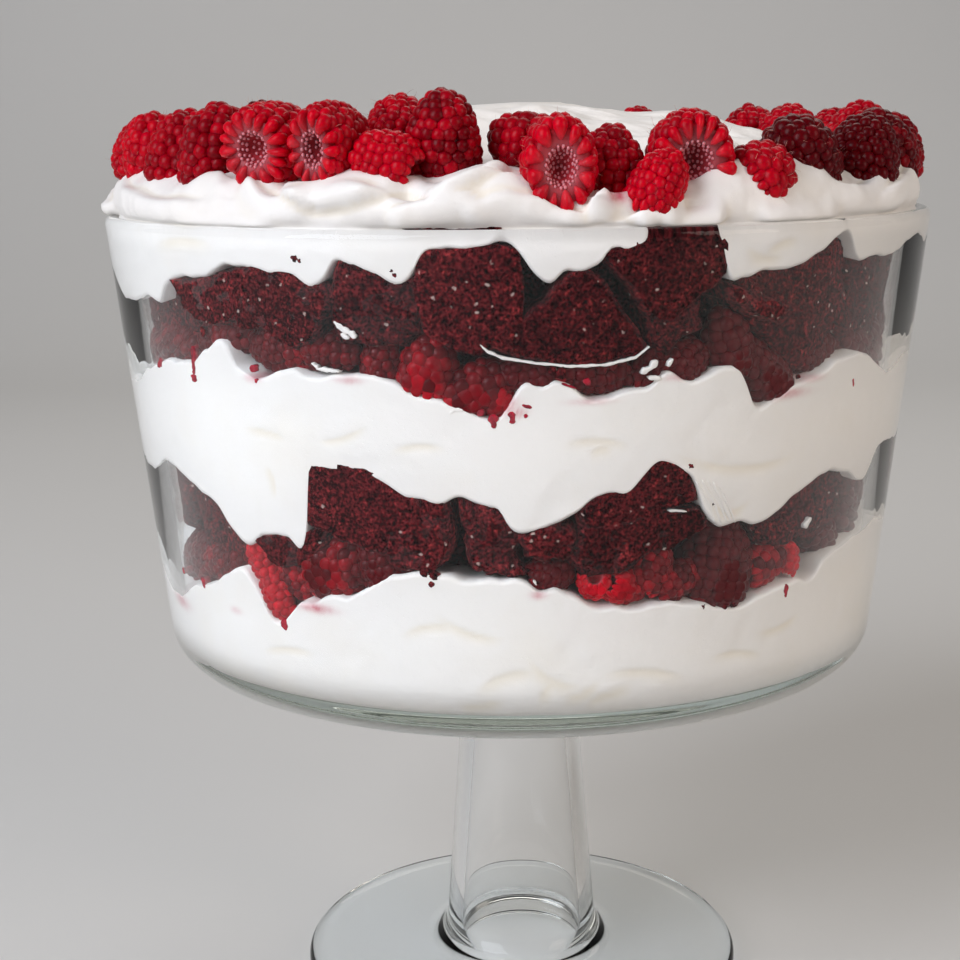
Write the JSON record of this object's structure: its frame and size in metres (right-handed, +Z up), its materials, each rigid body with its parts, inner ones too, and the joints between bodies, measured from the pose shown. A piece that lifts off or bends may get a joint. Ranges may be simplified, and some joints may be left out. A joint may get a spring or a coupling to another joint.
{
  "type": "trifle in a footed glass bowl",
  "caption": "Layered trifle of whipped cream, raspberries and dark red cake in a straight-sided footed glass bowl, heaped above the rim and ringed with whole raspberries.",
  "frame": {"origin": "centre of the underside of the round foot, on the surface the bowl stands on", "axes": "+Z up along the bowl's axis; -Y is the front; +X is to the right seen from the front"},
  "size_m": [0.2096, 0.2096, 0.2377],
  "materials": {
    "glass": "clear pressed soda-lime glass, smooth and glossy, faint green edge",
    "whipped_cream": "whipped cream, warm white, soft satin, spooned folds",
    "red_velvet_cake": "dark red crumbly sponge cake, matte",
    "raspberry": "fresh raspberry, moist, crimson to bright red"
  },
  "bodies": {
    "root": {"glass_bowl": "glass", "cream_bottom": "whipped_cream", "cream_middle": "whipped_cream", "cream_top": "whipped_cream", "cake_lower": "red_velvet_cake", "cake_upper": "red_velvet_cake", "raspberries_lower": "raspberry", "raspberries_upper": "raspberry", "raspberry_01": "raspberry", "raspberry_02": "raspberry", "raspberry_03": "raspberry", "raspberry_04": "raspberry", "raspberry_05": "raspberry", "raspberry_06": "raspberry", "raspberry_07": "raspberry", "raspberry_08": "raspberry", "raspberry_09": "raspberry", "raspberry_10": "raspberry", "raspberry_11": "raspberry", "raspberry_12": "raspberry", "raspberry_13": "raspberry", "raspberry_14": "raspberry", "raspberry_15": "raspberry", "raspberry_16": "raspberry", "raspberry_17": "raspberry", "raspberry_18": "raspberry", "raspberry_19": "raspberry", "raspberry_20": "raspberry", "raspberry_21": "raspberry", "raspberry_22": "raspberry", "raspberry_23": "raspberry", "raspberry_24": "raspberry", "raspberry_25": "raspberry", "raspberry_26": "raspberry", "raspberry_27": "raspberry", "raspberry_28": "raspberry", "raspberry_29": "raspberry", "raspberry_30": "raspberry", "raspberry_31": "raspberry", "raspberry_32": "raspberry", "raspberry_33": "raspberry", "raspberry_34": "raspberry", "raspberry_35": "raspberry"}
  },
  "joints": []
}
